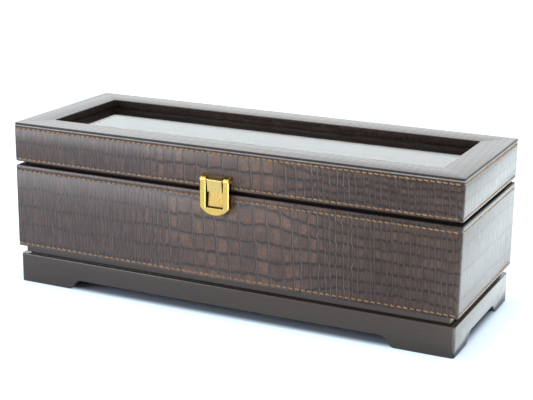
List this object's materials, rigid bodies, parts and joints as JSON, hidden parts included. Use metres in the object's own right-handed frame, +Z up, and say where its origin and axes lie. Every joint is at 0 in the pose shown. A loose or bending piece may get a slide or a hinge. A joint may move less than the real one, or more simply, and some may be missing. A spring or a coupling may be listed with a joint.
{
  "type": "watch box",
  "caption": "Watch box in embossed leather with a glazed hinged lid, brass flap latch, lift-out pillows and a bracket-foot base.",
  "frame": {"origin": "on the floor, under the middle of the whole object with its latch and hinges", "axes": "+X to the right as seen from the front, along the box; -Y out of the front with the latch; +Z up"},
  "size_m": [0.325, 0.1326, 0.1159],
  "materials": {
    "embossed_leather": "crocodile-embossed coated leather, satin, stitched in tan thread",
    "dark_lacquer": "dark brown satin lacquer on shaped rails",
    "riser_paint": "near-black brown paint",
    "board": "plain fibre board, hidden by leather and lining",
    "velvet_lining": "dark brown velvet on thin board",
    "pillow_fabric": "dark brown suede cloth over foam",
    "clear_glass": "clear polished float glass",
    "brass": "brushed and lacquered brass",
    "screw_steel": "zinc-plated screws",
    "retainer_plastic": "matt dark brown moulding"
  },
  "bodies": {
    "case": {"plinth_front_rail": "dark_lacquer", "plinth_back_rail": "dark_lacquer", "plinth_left_rail": "dark_lacquer", "plinth_right_rail": "dark_lacquer", "plinth_corner_blocks": "board", "riser_board": "riser_paint", "base_screws": "screw_steel", "case_front_board": "board", "case_back_board": "board", "case_left_board": "board", "case_right_board": "board", "case_floor_board": "board", "case_leather": "embossed_leather", "floor_lining": "velvet_lining", "liner_front": "velvet_lining", "liner_back": "velvet_lining", "liner_left": "velvet_lining", "liner_right": "velvet_lining", "hinge_case_leaf_left": "brass", "hinge_case_leaf_right": "brass", "hinge_pins": "brass", "hinge_case_screws": "brass", "latch_catch_plate": "brass", "latch_case_pins": "brass", "divider_1": "velvet_lining", "divider_2": "velvet_lining", "divider_3": "velvet_lining", "divider_4": "velvet_lining", "divider_5": "velvet_lining"},
    "lid": {"lid_front_board": "board", "lid_back_board": "board", "lid_left_board": "board", "lid_right_board": "board", "lid_front_rail": "board", "lid_back_rail": "board", "lid_left_rail": "board", "lid_right_rail": "board", "lid_side_leather": "embossed_leather", "lid_top_leather": "embossed_leather", "lid_glass": "clear_glass", "lid_liner_front": "velvet_lining", "lid_liner_back": "velvet_lining", "lid_liner_left": "velvet_lining", "lid_liner_right": "velvet_lining", "window_reveal_leather": "embossed_leather", "glass_retainer": "retainer_plastic", "hinge_lid_leaf_left": "brass", "hinge_lid_leaf_right": "brass", "hinge_lid_screws": "brass", "latch_lid_plate": "brass", "latch_pin": "brass", "latch_lid_pins": "brass"},
    "latch_flap": {"latch_flap": "brass"},
    "watch_pillow_1": {"watch_pillow_1": "pillow_fabric"},
    "watch_pillow_2": {"watch_pillow_2": "pillow_fabric"},
    "watch_pillow_3": {"watch_pillow_3": "pillow_fabric"},
    "watch_pillow_4": {"watch_pillow_4": "pillow_fabric"},
    "watch_pillow_5": {"watch_pillow_5": "pillow_fabric"},
    "watch_pillow_6": {"watch_pillow_6": "pillow_fabric"}
  },
  "joints": [
    {"name": "lid_hinge", "type": "hinge", "parent": "case", "child": "lid", "pos_m": [0, 0.06135, 0.08705], "axis": [-1, 0, 0], "range_deg": [0, 95]},
    {"name": "latch_hinge", "type": "hinge", "parent": "lid", "child": "latch_flap", "pos_m": [-0.0034, -0.0644, 0.09485], "axis": [-1, 0, 0], "range_deg": [0, 120]},
    {"name": "pillow_1_lift", "type": "slide", "parent": "case", "child": "watch_pillow_1", "axis": [0, 0, 1], "range_m": [0, 0.02]},
    {"name": "pillow_2_lift", "type": "slide", "parent": "case", "child": "watch_pillow_2", "axis": [0, 0, 1], "range_m": [0, 0.02]},
    {"name": "pillow_3_lift", "type": "slide", "parent": "case", "child": "watch_pillow_3", "axis": [0, 0, 1], "range_m": [0, 0.02]},
    {"name": "pillow_4_lift", "type": "slide", "parent": "case", "child": "watch_pillow_4", "axis": [0, 0, 1], "range_m": [0, 0.02]},
    {"name": "pillow_5_lift", "type": "slide", "parent": "case", "child": "watch_pillow_5", "axis": [0, 0, 1], "range_m": [0, 0.02]},
    {"name": "pillow_6_lift", "type": "slide", "parent": "case", "child": "watch_pillow_6", "axis": [0, 0, 1], "range_m": [0, 0.02]}
  ]
}
